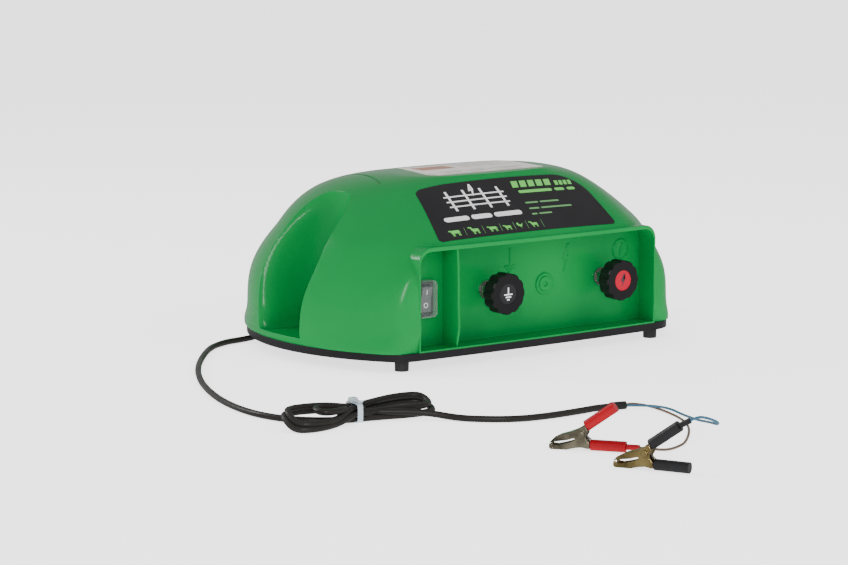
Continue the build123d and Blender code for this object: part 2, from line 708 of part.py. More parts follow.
def lower_jaw():
    shell = profile(LOWER_JAW, 7.8)
    channel = profile([(x, z + CLIP_T) for x, z in LOWER_JAW], 7.8 - 2 * CLIP_T)
    high = profile([(x, z + 3.5) for x, z in LOWER_JAW], 7.8 - 2 * CLIP_T)
    tongue = profile([(27, 1.4), (54, 3.4), (54, 4.6), (27, 3.4)], 5.0)
    pin = rod((PIVOT_S, 5, PIVOT_H), (0, -1, 0), RIVET_R, 10)
    return shell - channel - high + tongue - pin


def upper_jaw():
    shell = profile(UPPER_JAW, 9.6)
    channel = profile([(x, z - CLIP_T) for x, z in UPPER_JAW], 9.6 - 2 * CLIP_T)
    low = profile([(x, z - 3.5) for x, z in UPPER_JAW], 9.6 - 2 * CLIP_T)
    a = math.radians(HANDLE_TILT)
    run = (math.cos(a), math.sin(a))
    ends = [(24.5, 16.6), (24.5 + 26 * run[0], 16.6 + 26 * run[1])]
    tongue = profile([ends[0], ends[1], (ends[1][0] - 0.7, ends[1][1] + 1.0), (23.8, 17.6)], 5.0)
    pin = rod((PIVOT_S, 6, PIVOT_H), (0, -1, 0), RIVET_R + 0.05, 12)
    return (shell - channel - low - pin) + tongue


def clip_rivet():
    pin = rod((PIVOT_S, 5.0, PIVOT_H), (0, -1, 0), RIVET_R, 10.0)
    for y in (5.0, -5.8):
        pin += rod((PIVOT_S, y + 0.8, PIVOT_H), (0, -1, 0), 2.6, 0.8)
    return pin


def clip_spring():
    """The coil spring round the rivet, as a sleeve with its two legs."""
    coil = ring((PIVOT_S, 2.6, PIVOT_H), (0, -1, 0), 2.9, RIVET_R + 0.3, 5.2)
    legs = profile([(26.5, 12), (31, 8.4), (30.4, 7.8), (25, 10.5)], 1.2)
    legs += profile([(24.5, 14.5), (28.5, 17.2), (29, 16.5), (26, 13.4)], 1.2)
    spring = (coil + legs) - upper_jaw() - lower_jaw() - upper_sleeve() - lower_sleeve()
    return spring.solids().sort_by(SortBy.VOLUME)[-1]


def sleeve(start, tilt, length, r):
    """A soft plastic sleeve over a handle, closed up round it at the end."""
    a = math.radians(tilt)
    plane = Plane(origin=(start[0], 0, start[1]), z_dir=(math.cos(a), 0, math.sin(a)))
    return extrude(plane * Ellipse(r, r * 1.06), length)


def lower_sleeve():
    return sleeve((30.5, 4.1), 0, 26.0, 4.05) - lower_jaw()


def upper_sleeve():
    return sleeve((27.2, 18.2), HANDLE_TILT, 26.0, 4.05) - upper_jaw()


def lower_wire_sleeve():
    return sleeve((56.5, 4.1), 0, 10.0, 2.1)


def upper_wire_sleeve():
    a = math.radians(HANDLE_TILT)
    start = (27.2 + 26.0 * math.cos(a), 18.2 + 26.0 * math.sin(a))
    return sleeve(start, 30.0, 9.0, 2.1) - upper_sleeve()


def place_clip(shape, tip, yaw):
    return Pos(tip[0], tip[1], 0) * Rot(0, 0, yaw) * shape


def clips():
    """Every node of the two spring clips, where they lie."""
    nodes = {}
    for name, tip, yaw in CLIPS:
        made = {
            "lower_jaw": lower_jaw(), "upper_jaw": upper_jaw(), "rivet": clip_rivet(),
            "spring": clip_spring(), "lower_sleeve": lower_sleeve(), "upper_sleeve": upper_sleeve(),
        }
        made["wire_sleeve"] = lower_wire_sleeve() if name == "red_clip" else upper_wire_sleeve()
        for piece, shape in made.items():
            nodes[f"{name}_{piece}"] = place_clip(shape, tip, yaw)
    return nodes


# ---- the assembly ------------------------------------------------------------------------------
def all_nodes():
    hank = cable_hank()
    winding = transformer_winding()
    lead_out = tube("cable_lead_out", LEAD_OUT, CABLE_D) - hank
    nodes = {
        "housing_cover": housing_cover(),
        "front_label": front_label(),
        "top_label": top_label(),
        "base_plate": base_plate(),
        "rim_gasket": gasket_ring(),
        "rubber_feet": rubber_feet(),
        "cover_screws": cover_screws(),
        "switch_body": switch_body(),
        "switch_rocker": rocker(),
        "switch_splash_cover": splash_cover(),
        "terminal_nuts": terminal_nuts(),
        "terminal_washers": terminal_washers(),
        "circuit_board": circuit_board(),
        "board_screws": board_screws(),
        "transformer_core": transformer_core(),
        "transformer_winding": winding,
        "storage_capacitors": storage_capacitors(),
        "heat_sink": heat_sink(),
        "thyristor": thyristor(),
        "power_terminal_block": terminal_block(),
        "earth_lead": tube("earth_lead", EARTH_LEAD, 3.2) - winding,
        "fence_lead": tube("fence_lead", FENCE_LEAD, 3.2) - winding,
        "supply_lead": tube("supply_lead", SUPPLY_LEAD, CABLE_D),
        "cable_gland": cable_gland(),
        "cable_lead_in": tube("cable_lead_in", LEAD_IN, CABLE_D) - hank,
        "cable_hank": hank,
        "cable_tie": cable_tie(),
        "cable_lead_out": lead_out,
        "cable_end_sleeve": cable_end_sleeve(),
        "wire_brown": tube("wire_brown", WIRE_BROWN, CORE_D) - lead_out,
        "wire_blue": tube("wire_blue", WIRE_BLUE, CORE_D) - lead_out,
    }
    for name, x in (("earth", EARTH_X), ("fence", FENCE_X)):
        nodes[f"{name}_stud"] = stud(x)
        nodes[f"{name}_clamp_washer"] = clamp_washer(x)
        nodes[f"{name}_knob"] = knob(x)
        nodes[f"{name}_knob_inlay"] = knob_inlay(x)
        nodes[f"{name}_knob_insert"] = knob_insert(x)
    nodes.update(clips())
    nodes["wire_brown"] -= nodes["red_clip_wire_sleeve"]
    return nodes


if __name__ == "__main__":
    os.makedirs("parts", exist_ok=True)
    for node, shape in all_nodes().items():
        export_step(shape, f"parts/{node}.step")
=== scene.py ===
"""A fence energizer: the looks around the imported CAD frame."""
import math

import bmesh
import bpy
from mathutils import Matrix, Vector
from mathutils.bvhtree import BVHTree


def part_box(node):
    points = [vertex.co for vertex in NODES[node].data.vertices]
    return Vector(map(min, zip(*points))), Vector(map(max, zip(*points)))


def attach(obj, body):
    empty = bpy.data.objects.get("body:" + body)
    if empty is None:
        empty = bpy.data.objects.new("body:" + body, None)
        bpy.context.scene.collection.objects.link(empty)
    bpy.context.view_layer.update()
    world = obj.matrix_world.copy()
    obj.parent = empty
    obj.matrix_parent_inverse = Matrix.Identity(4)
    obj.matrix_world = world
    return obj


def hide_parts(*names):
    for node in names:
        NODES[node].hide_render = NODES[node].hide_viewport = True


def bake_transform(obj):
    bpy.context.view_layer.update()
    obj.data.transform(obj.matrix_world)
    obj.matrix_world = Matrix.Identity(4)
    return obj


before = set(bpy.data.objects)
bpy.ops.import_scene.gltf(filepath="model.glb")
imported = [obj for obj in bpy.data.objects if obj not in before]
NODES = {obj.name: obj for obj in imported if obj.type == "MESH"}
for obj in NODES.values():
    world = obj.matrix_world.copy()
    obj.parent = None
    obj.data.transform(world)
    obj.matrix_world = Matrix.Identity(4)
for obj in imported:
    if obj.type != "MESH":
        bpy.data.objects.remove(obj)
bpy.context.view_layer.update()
MM = 0.001


# ---- material helpers --------------------------------------------------------------------------
def new_material(name, **sockets):
    """A Principled material; sockets are set on the shader itself."""
    mat = bpy.data.materials.new(name)
    mat.use_nodes = True
    shader = mat.node_tree.nodes["Principled BSDF"]
    for key, value in sockets.items():
        shader.inputs[key.replace("_", " ")].default_value = value
    return mat


def node(mat, kind, **values):
    made = mat.node_tree.nodes.new(kind)
    for key, value in values.items():
        if hasattr(made, key):
            setattr(made, key, value)
        else:
            made.inputs[key.replace("_", " ")].default_value = value
    return made


def link(mat, out, into):
    mat.node_tree.links.new(out, into)


def shader_of(mat):
    return mat.node_tree.nodes["Principled BSDF"]


def noise(mat, scale, detail=3.0, roughness=0.5):
    """Noise in the part's own metres, scale in features per metre."""
    place = node(mat, "ShaderNodeTexCoord")
    made = node(mat, "ShaderNodeTexNoise", Scale=scale, Detail=detail, Roughness=roughness)
    link(mat, place.outputs["Object"], made.inputs["Vector"])
    return made.outputs["Fac"]


def span(mat, value, low, high, start=0.3, end=0.7):
    """Maps a factor onto the range low to high."""
    made = node(mat, "ShaderNodeMapRange", From_Min=start, From_Max=end, To_Min=low, To_Max=high)
    link(mat, value, made.inputs["Value"])
    return made.outputs["Result"]


def two_tone(mat, value, dark, light, start=0.3, end=0.7):
    ramp = node(mat, "ShaderNodeValToRGB")
    ramp.color_ramp.elements[0].position = start
    ramp.color_ramp.elements[0].color = (*dark, 1)
    ramp.color_ramp.elements[1].position = end
    ramp.color_ramp.elements[1].color = (*light, 1)
    link(mat, value, ramp.inputs["Fac"])
    return ramp.outputs["Color"]


def bump(mat, height, strength, distance, radius=0.0):
    """Bump over an optional rounding of the sharp edges."""
    made = node(mat, "ShaderNodeBump", Strength=strength, Distance=distance)
    link(mat, height, made.inputs["Height"])
    if radius:
        soft = node(mat, "ShaderNodeBevel", samples=8, Radius=radius)
        link(mat, soft.outputs["Normal"], made.inputs["Normal"])
    link(mat, made.outputs["Normal"], shader_of(mat).inputs["Normal"])


def plastic(name, color, rough, grain=900.0, depth=0.00003, edge=0.0, spread=0.12, **sockets):
    """Moulded plastic: slight colour and gloss variation over a fine grain."""
    mat = new_material(name, **sockets)
    dark = tuple(c * (1 - spread) for c in color)
    light = tuple(min(1.0, c * (1 + spread)) for c in color)
    link(mat, two_tone(mat, noise(mat, 14), dark, light), shader_of(mat).inputs["Base Color"])
    gloss = span(mat, noise(mat, 45, 4), rough * 0.85, rough * 1.2)
    link(mat, gloss, shader_of(mat).inputs["Roughness"])
    bump(mat, noise(mat, grain, 2), 0.35, depth, edge)
    return mat


def plated(name, color, rough, spread=0.15, patch=220.0):
    """Mottled plating with an uneven gloss, as yet without a bump."""
    mat = new_material(name, Metallic=1.0)
    dark = tuple(c * (1 - spread) for c in color)
    light = tuple(min(1.0, c * (1 + spread)) for c in color)
    link(mat, two_tone(mat, noise(mat, patch, 4), dark, light), shader_of(mat).inputs["Base Color"])
    gloss = span(mat, noise(mat, 400, 5, 0.7), rough * 0.6, rough * 1.5)
    link(mat, gloss, shader_of(mat).inputs["Roughness"])
    return mat


def metal(name, color, rough, edge=0.0, **plating):
    """Plated or turned metal with faint scratches."""
    mat = plated(name, color, rough, **plating)
    bump(mat, noise(mat, 1500, 3), 0.25, 0.00002, edge)
    return mat


def threaded(name, color, rough, pitch):
    """Turned steel with the ridges of a screw thread, one per pitch along the stud."""
    mat = plated(name, color, rough)
    place = node(mat, "ShaderNodeTexCoord")
    ridges = node(mat, "ShaderNodeTexWave", bands_direction="Y", Scale=WAVES_PER_UNIT / pitch)
    link(mat, place.outputs["Object"], ridges.inputs["Vector"])
    bump(mat, ridges.outputs["Fac"], 1.0, THREAD_DEPTH)
    return mat


def paint_node(name, mat):
    """Gives a CAD node its material."""
    mesh = NODES[name].data
    mesh.materials.clear()
    mesh.materials.append(mat)


# ---- materials ---------------------------------------------------------------------------------
GREEN = (0.0, 0.215, 0.044)
WAVES_PER_UNIT = math.pi / 10      # a wave texture's scale for one band per unit
THREAD_PITCH = 0.00125
THREAD_DEPTH = 0.0006
green = plastic("green_housing", GREEN, 0.17, grain=1400, depth=0.000012, edge=0.0013, spread=0.05,
                Specular_IOR_Level=0.14)
base_black = plastic("base_plastic", (0.011, 0.0105, 0.012), 0.42, grain=1100, depth=0.00006, edge=0.0008,
                     Specular_IOR_Level=0.22)
rubber = plastic("black_rubber", (0.013, 0.0125, 0.013), 0.6, grain=1300, depth=0.00007, edge=0.0005)
knob_black = plastic("knob_plastic", (0.008, 0.0075, 0.0085), 0.36, grain=1200, depth=0.00004, edge=0.0006,
                     Specular_IOR_Level=0.26)
switch_black = plastic("switch_plastic", (0.02, 0.02, 0.022), 0.35, edge=0.0003)
rocker_grey = plastic("rocker_plastic", (0.10, 0.105, 0.105), 0.3, edge=0.0003)
film_dark = plastic("label_film", (0.015, 0.0145, 0.016), 0.38, grain=1500, depth=0.00005, spread=0.1,
                    Specular_IOR_Level=0.2)
film_pale = plastic("top_film", (0.80, 0.75, 0.70), 0.42, grain=1500, depth=0.00004, spread=0.05)
cable_black = plastic("cable_sheath", (0.0135, 0.0122, 0.0105), 0.4, grain=700, depth=0.00006, spread=0.2,
                      Specular_IOR_Level=0.32)
shrink = plastic("shrink_tubing", (0.010, 0.010, 0.010), 0.34, grain=500, depth=0.00008,
                 Specular_IOR_Level=0.3)
brown_skin = plastic("brown_core", (0.105, 0.068, 0.045), 0.35, spread=0.12, Specular_IOR_Level=0.3)
blue_skin = plastic("blue_core", (0.03, 0.10, 0.165), 0.35, spread=0.12, Specular_IOR_Level=0.3)
red_vinyl = plastic("red_vinyl", (0.30, 0.003, 0.009), 0.3, grain=260, depth=0.00016, edge=0.0006,
                    spread=0.2, Specular_IOR_Level=0.2)
black_vinyl = plastic("black_vinyl", (0.012, 0.012, 0.013), 0.36, grain=260, depth=0.00016, edge=0.0006,
                      Specular_IOR_Level=0.32)
red_disc = plastic("fence_disc", (0.42, 0.004, 0.022), 0.34, edge=0.0004, spread=0.06,
                   Specular_IOR_Level=0.15)
dark_disc = plastic("earth_disc", (0.018, 0.018, 0.02), 0.35, edge=0.0004, Specular_IOR_Level=0.26)
nylon = plastic("tie_nylon", (0.5, 0.58, 0.63), 0.35, spread=0.06, Subsurface_Weight=0.1)
print_white = plastic("print_white", (0.85, 0.85, 0.85), 0.4, grain=1500, spread=0.04)
print_green = plastic("print_green", (0.14, 0.60, 0.10), 0.4, grain=1500, spread=0.06)
print_dim = plastic("print_dim_green", (0.13, 0.34, 0.12), 0.45, grain=1500, spread=0.06)
print_dark = plastic("print_dark", (0.045, 0.03, 0.035), 0.4, grain=1500, spread=0.06)
print_rust = plastic("print_rust", (0.42, 0.2, 0.14), 0.45, grain=1500, spread=0.1)
print_grey = plastic("print_grey", (0.34, 0.31, 0.29), 0.45, grain=1500, spread=0.1)
steel = metal("stainless", (0.42, 0.415, 0.40), 0.28, edge=0.0003)
stud_steel = threaded("stud_thread", (0.5, 0.49, 0.47), 0.28, THREAD_PITCH)
zinc = metal("zinc_plate", (0.62, 0.62, 0.60), 0.3, edge=0.0003)
clip_zinc = metal("clip_zinc", (0.30, 0.268, 0.19), 0.26, edge=0.0016, spread=0.85, patch=60)
yellow_zinc = metal("yellow_zinc", (0.32, 0.242, 0.10), 0.26, edge=0.0016, spread=0.85, patch=60)
spring_steel = metal("spring_steel", (0.5, 0.49, 0.47), 0.3)
brass = metal("brass", (0.72, 0.52, 0.22), 0.3)
aluminium = metal("aluminium_fins", (0.75, 0.75, 0.76), 0.35)
core_steel = plastic("core_laminations", (0.10, 0.10, 0.11), 0.5, grain=2500, depth=0.0002, Metallic=0.6)
winding = plastic("winding_tape", (0.42, 0.27, 0.07), 0.35, grain=300, depth=0.0001)
board_green = plastic("board_laminate", (0.025, 0.15, 0.06), 0.3)
blue_sleeve = plastic("capacitor_sleeve", (0.03, 0.05, 0.2), 0.25)
block_green = plastic("terminal_block", (0.05, 0.3, 0.14), 0.4)
lead_red = plastic("lead_red", (0.5, 0.03, 0.03), 0.35)
clear = plastic("clear_vinyl", (0.36, 0.42, 0.40), 0.14, spread=0.03)
facing = node(clear, "ShaderNodeLayerWeight", Blend=0.55)
link(clear, span(clear, facing.outputs["Facing"], 0.07, 0.8, 0.3, 0.95), shader_of(clear).inputs["Alpha"])

FINISHES = {
    "housing_cover": green, "base_plate": base_black, "rim_gasket": rubber, "rubber_feet": rubber,
    "cover_screws": zinc, "board_screws": zinc, "front_label": film_dark, "top_label": film_pale,
    "switch_body": switch_black, "switch_rocker": rocker_grey, "switch_splash_cover": clear,
    "terminal_nuts": steel, "terminal_washers": steel, "earth_clamp_washer": steel,
    "fence_clamp_washer": steel, "earth_stud": stud_steel, "fence_stud": stud_steel,
    "earth_knob": knob_black, "fence_knob": knob_black,
    "earth_knob_inlay": dark_disc, "fence_knob_inlay": red_disc,
    "earth_knob_insert": brass, "fence_knob_insert": brass, "circuit_board": board_green,
    "transformer_core": core_steel, "transformer_winding": winding,
    "storage_capacitors": blue_sleeve, "heat_sink": aluminium, "thyristor": switch_black,
    "power_terminal_block": block_green, "earth_lead": shrink, "fence_lead": lead_red,
    "supply_lead": cable_black, "cable_gland": rubber, "cable_end_sleeve": shrink,
    "cable_tie": nylon,
}
for clip, plate, skin in (("red_clip", clip_zinc, red_vinyl), ("black_clip", yellow_zinc, black_vinyl)):
    for piece in ("lower_jaw", "upper_jaw", "rivet"):
        FINISHES[f"{clip}_{piece}"] = plate
    FINISHES[f"{clip}_spring"] = spring_steel
    for piece in ("lower_sleeve", "upper_sleeve", "wire_sleeve"):
        FINISHES[f"{clip}_{piece}"] = skin
for name, mat in FINISHES.items():
    paint_node(name, mat)


def new_object(name, mesh, mat):
    """Puts a finished bmesh in the scene as an object of one material."""
    data = bpy.data.meshes.new(name)
    mesh.to_mesh(data)
    mesh.free()
    data.materials.append(mat)
    obj = bpy.data.objects.new(name, data)
    bpy.context.collection.objects.link(obj)
    return obj


# ---- printed marks -----------------------------------------------------------------------------
INK_LIFT = 0.00007                 # the ink's height above the surface that carries it
INK_STEP = 5.0                     # the longest edge in millimetres, so that ink follows a curved label
RAY_START = 0.03                   # how far out the rays start that find that surface
SLOPE = math.radians(37.5)
# planes that marks are drawn on: origin, across, up and out
FRONT = (Vector((0, -0.115, 0.1039)), Vector((1, 0, 0)), Vector((0, math.cos(SLOPE), math.sin(SLOPE))),
         Vector((0, -math.sin(SLOPE), math.cos(SLOPE))))
ROOF = (Vector((0, 0, 0.1529)), Vector((1, 0, 0)), Vector((0, 1, 0)), Vector((0, 0, 1)))
ROCKER = (Vector((-0.1083, -0.0975, 0.0577)), Vector((1, 0, 0)), Vector((0, 0, 1)), Vector((0, -1, 0)))


def surface_of(name):
    """A CAD node's faces for casting rays at, in the row frame."""
    obj = NODES[name]
    corners = [obj.matrix_world @ v.co for v in obj.data.vertices]
    return BVHTree.FromPolygons(corners, [tuple(face.vertices) for face in obj.data.polygons])


def printed(name, shapes, place, target, mat, body):
    """Ink laid on a CAD node: flat shapes in mm, fitted to its surface a hair above it."""
    origin, across, up, out = place
    mesh = bmesh.new()
    for shape in shapes:
        corners = [mesh.verts.new((x, y, 0)) for x, y in shape]
        mesh.faces.new(corners)
    bmesh.ops.triangulate(mesh, faces=mesh.faces[:])
    for _ in range(6):
        long_edges = [e for e in mesh.edges if e.calc_length() > INK_STEP]
        if not long_edges:
            break
        bmesh.ops.subdivide_edges(mesh, edges=long_edges, cuts=1, use_grid_fill=True)
        bmesh.ops.triangulate(mesh, faces=mesh.faces[:])
    tree = surface_of(target)
    for v in mesh.verts:
        flat = origin + (across * v.co.x + up * v.co.y) * MM
        hit = tree.ray_cast(flat + out * RAY_START, -out)[0]
        v.co = (hit or flat) + out * INK_LIFT
    for face in mesh.faces:
        face.normal_update()
        if face.normal.dot(out) < 0:
            face.normal_flip()
    obj = new_object(name, mesh, mat)
    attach(obj, body)


def strip(x0, x1, y0, y1, lean=0.0):
    """An upright block, leaning to the right by lean at its top."""
    return [(x0, y0), (x1, y0), (x1 + lean, y1), (x0 + lean, y1)]


def pill(x0, x1, y0, y1):
    """A bar with round ends."""
    r = (y1 - y0) / 2
    mid = (y0 + y1) / 2
    ends = []
    for cx, first in ((x1 - r, -90), (x0 + r, 90)):
        for step in range(7):
            a = math.radians(first + 30 * step)
            ends.append((cx + r * math.cos(a), mid + r * math.sin(a)))
    return ends


def disc(x, y, rx, ry):
    """An upright ellipse round x, y."""
    steps = [2 * math.pi * i / 20 for i in range(20)]
    return [(x + rx * math.cos(a), y + ry * math.sin(a)) for a in steps]


def bolt(x, y, size):
    """A zigzag of lightning, centred on x, y."""
    outline = [(0.1, 1.0), (-0.42, -0.12), (-0.04, -0.06), (-0.18, -1.0), (0.42, 0.2), (0.04, 0.14),
               (0.36, 1.0)]
    return [(x + size * a, y + size * b) for a, b in outline]


def grazer(x, y, long, tall, neck=0.35, rise=0.3, horns=False):
    """A plain four-legged farm animal in outline, facing left, standing on y."""
    leg = 0.42 * tall
    back = 0.86 * tall
    barrel = [
        (x + 0.16 * long, y + leg * 0.9), (x + 0.9 * long, y + leg * 0.95),
        (x + 0.97 * long, y + back * 0.9), (x + 0.9 * long, y + back),
        (x + 0.3 * long, y + back), (x + 0.14 * long, y + back * 0.85),
    ]
    shapes = [barrel]
    for share in (0.2, 0.32, 0.74, 0.86):
        shapes.append(strip(x + share * long, x + (share + 0.075) * long, y, y + leg))
    top = y + back + rise * tall
    shapes.append([
        (x + 0.12 * long, y + 0.6 * back), (x + 0.34 * long, y + 0.97 * back),
        (x + (0.34 - neck * 0.3) * long, top), (x + (0.2 - neck * 0.5) * long, top),
    ])
    head_x = x + (0.14 - neck * 0.45) * long
    shapes.append(disc(head_x, top - 0.06 * tall, 0.15 * long, 0.1 * tall))
    shapes.append([
        (x + 0.95 * long, y + 0.82 * tall), (x + 1.04 * long, y + 0.4 * tall),
        (x + 0.97 * long, y + 0.5 * tall),
    ])
    if horns:
        shapes.append([(head_x, top), (head_x - 0.06 * long, top + 0.2 * tall), (head_x + 0.1 * long, top)])
    return shapes


def fowl(x, y, size):
    """A plain farm bird in outline, facing left, standing on y."""
    body = [(x, y + 0.62 * size), (x + 0.3 * size, y + 0.3 * size), (x + 0.62 * size, y + 0.34 * size),
            (x + 0.95 * size, y + 0.95 * size), (x + 0.6 * size, y + 0.66 * size),
            (x + 0.28 * size, y + 0.72 * size)]
    head = [(x - 0.06 * size, y + 0.84 * size), (x, y + 0.5 * size), (x + 0.3 * size, y + 0.6 * size),
            (x + 0.22 * size, y + 1.05 * size), (x + 0.04 * size, y + 1.0 * size)]
    return [body, head, strip(x + 0.4 * size, x + 0.46 * size, y, y + 0.36 * size)]


def front_print():
    """A fence pictogram, plain bars for the printed lines, and a row of farm animals."""
    fence = [strip(x, x + 2.4, 38, 62) for x in (-68, -50, -32, -14)]
    fence += [pill(-72, -8, y, y + 1.5) for y in (42.5, 48.5, 54.5)]
    fence.append(bolt(-40, 60.5, 7.5))
    fence += [pill(-86, -60, 26.6, 31.8), pill(-57.5, -36, 26.6, 31.8), pill(-33.5, -4, 26.6, 31.8)]
    printed("print_fence", fence, FRONT, "front_label", print_white, "housing")
    marks = [strip(x, x + 6.6, 58.4, 66.2, 2.0) for x in (4, 13, 22, 31, 40)]
    marks += [strip(x, x + 3.6, 58.0, 63.6, 1.2) for x in (51.5, 56.5, 61.5, 66.5)]
    marks += [pill(7, 44, 51.2, 54.6), pill(47, 58, 51.2, 54.6), pill(61, 70, 51.2, 54.6)]
    printed("print_heading", marks, FRONT, "front_label", print_green, "housing")
    lines = [pill(6, 20, 38.3, 40.2), pill(22, 43, 38.3, 40.2), pill(6, 17, 31.2, 33.1),
             pill(19, 53, 31.2, 33.1), pill(5, 11, 24.6, 26.4), pill(13, 27, 24.6, 26.4)]
    lines += [strip(x, x + 0.35, 9.5, 18.5, 1.0) for x in (-73.5, -54.5, -36.3, -21.8, -8.2, 8.6)]
    printed("print_lines", lines, FRONT, "front_label", print_dim, "housing")
    herd = grazer(-89, 10.2, 11, 7.6, neck=0.1, rise=-0.02)
    herd += grazer(-67, 10.0, 8.5, 7.0, neck=0.45, rise=0.3)
    herd += grazer(-49, 10.4, 9.5, 6.4, neck=0.15, rise=0.02, horns=True)
    herd += grazer(-32.2, 10.2, 7.4, 5.6, neck=0.2, rise=0.12)
    herd += fowl(-17.5, 10.4, 6.6)
    herd += grazer(-3.6, 10.4, 7.4, 6.0, neck=0.35, rise=0.22, horns=True)
    printed("print_herd", herd, FRONT, "front_label", print_green, "housing")


def roof_print():
    """Faint rows of print on the roof label, a rust-coloured patch and a line along its front."""
    rust = [strip(-50, -22, -38.6, -37.4), strip(-16, -4, -38.6, -37.0), strip(8, 40, -38.4, -37.6)]
    rust.append([(-58.4, -30), (-57.2, -30.4), (-53, -36.4), (-53.8, -37.2)])
    rust.append(strip(-46, -10, -6, 14))
    printed("print_roof_rust", rust, ROOF, "top_label", print_rust, "housing")
    dark = [pill(x, x + w, y, y + 1.6) for x, w, y in (
        (-40, 18, -31), (-18, 30, -31), (18, 22, -31), (-40, 26, -25), (-8, 16, -25), (14, 36, -25),
        (0, 24, -4), (28, 26, -4), (0, 40, 4), (0, 18, 12), (22, 30, 12), (-40, 50, 21), (16, 34, 21))]
    printed("print_roof_lines", dark, ROOF, "top_label", print_grey, "housing")


RING_OUTER = 2.2
RING_INNER = 1.6
RING_LOW = -5.6


def rocker_print():
    """The on and off marks of the rocker, a bar and a ring."""
    ring = []
    for i in range(20):
        a = 2 * math.pi * i / 20
        b = 2 * math.pi * (i + 1) / 20
        corners = ((RING_OUTER, a), (RING_OUTER, b), (RING_INNER, b), (RING_INNER, a))
        ring.append([(r * math.cos(t), r * math.sin(t) + RING_LOW) for r, t in corners])
    marks = ring + [strip(-0.35, 0.35, 3.6, 7.6)]
    printed("print_rocker", marks, ROCKER, "switch_rocker", print_white, "rocker")


def knob_print():
    """An earth symbol on the dark inlay and a lightning bolt on the red one."""
    earth = [strip(-0.55, 0.55, 0, 5.6), strip(-4.4, 4.4, -0.9, 0.2), strip(-2.9, 2.9, -3.1, -2.0),
             strip(-1.4, 1.4, -5.3, -4.2)]
    for side, shapes, mat in (("earth", earth, print_white), ("fence", [bolt(0, 0, 6.0)], print_dark)):
        inlay = f"{side}_knob_inlay"
        low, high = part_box(inlay)
        middle = Vector(((low[0] + high[0]) / 2, low[1], (low[2] + high[2]) / 2))
        place = (middle, Vector((1, 0, 0)), Vector((0, 0, 1)), Vector((0, -1, 0)))
        printed(f"print_{inlay}", shapes, place, inlay, mat, f"{side}_knob_body")


front_print()
roof_print()
knob_print()
rocker_print()


# ---- cords -------------------------------------------------------------------------------------
CABLE_D = 5.2
CORE_D = 1.95


def cord_curve(name, points, mat):
    """One smooth line with these control points, in millimetres."""
    curve = bpy.data.curves.new(name, "CURVE")
    curve.dimensions = "3D"
    spline = curve.splines.new("NURBS")
    spline.points.add(len(points) - 1)
    for point, (x, y, z) in zip(spline.points, points):
        point.co = (x * MM, y * MM, z * MM, 1.0)
    spline.order_u = 3
    spline.use_endpoint_u = True
    spline.resolution_u = 8
    curve.materials.append(mat)
    obj = bpy.data.objects.new(name, curve)
    bpy.context.collection.objects.link(obj)
    return obj


def centreline(obj):
    """The points along a cord's curve, before it has a bevel."""
    graph = bpy.context.evaluated_depsgraph_get()
    mesh = bpy.data.meshes.new_from_object(obj.evaluated_get(graph))
    points = [v.co.copy() for v in mesh.vertices]
    bpy.data.meshes.remove(mesh)
    return points


def length_of(points):
    """The length of a line through these points."""
    return sum((b - a).length for a, b in zip(points, points[1:]))


HANK_X, HANK_Y = -287.0, -249.0
LEAD_IN = [
    (-142, 89, 5.6), (-152, 89, 5.6), (-164, 89.6, 3.6), (-176, 90.4, 2.7), (-190, 89, 2.7),
    (-214, 76, 2.7), (-243, 43, 2.7), (-276, -2, 2.7), (-303, -51, 2.7), (-320, -92, 2.7),
    (-332, -130, 2.7), (-338, -165, 2.7), (-338, -195, 2.7), (-330, -222, 2.9), (-314, -240, 2.9),
]
LEAD_OUT = [
    (-248, -268, 6.5), (-234, -277, 5.0), (-224, -287, 2.9), (-218, -298, 2.7),
    (-210, -306.5, 2.7), (-199, -316, 2.7), (-185, -323.5, 2.7), (-168, -327, 2.7), (-150, -328, 2.7),
    (-129, -327.5, 2.7), (-110, -328, 3.3), (-92, -332, 3.3),
]
WIRE_BROWN = [
    (-91.75, -330.9, 3.3), (-85.5, -331.6, 3.0), (-78, -326, 2.2), (-70.5, -328.5, 1.2), (-68, -338, 1),
    (-69.5, -352, 1), (-73, -368, 1), (-79, -387, 1), (-89, -407, 1), (-107, -430, 1), (-135, -457, 1),
    (-149, -464, 1), (-158, -467.5, 1.3), (-167, -470.3, 2.2), (-175.6, -468.8, 3.6),
    (-182.4, -460.9, 4.1),
]
WIRE_BLUE = [
    (-92.25, -333.1, 3.3), (-86, -334.9, 3.1), (-78.5, -337.5, 2.5), (-73, -344, 2.8),
    (-70, -354, 3.3), (-71.5, -369, 3.8), (-80, -386, 5.2), (-90, -405, 7.4), (-101, -425.5, 10.2),
    (-114.5, -448, 14), (-129.5, -472, 19), (-146.5, -498.5, 24.5), (-163, -521.5, 29.5),
    (-175, -537, 34), (-184, -545, 38), (-191, -543.5, 41), (-194.1, -537, 41.4),
    (-196.75, -532, 38.2),
]

# Each half turn: side, reach, spread, height going out, height coming back; then the place in the tie.
NECK = [(-2.6, 2.8), (2.6, 7.3), (-5.2, 7.3), (2.6, 11.8), (-2.6, 11.8), (2.6, 2.8), (0, 7.3)]
HALF_TURNS = [
    (1, 71, 15, 3.0, 7.0), (-1, 61, 16, 10.5, 2.9), (1, 68, 13, 8.2, 12.4), (-1, 58, 15, 14.0, 6.5),
    (1, 32, 9, 3.2, 3.4), (-1, 34, 9, 13.2, 12.4),
]


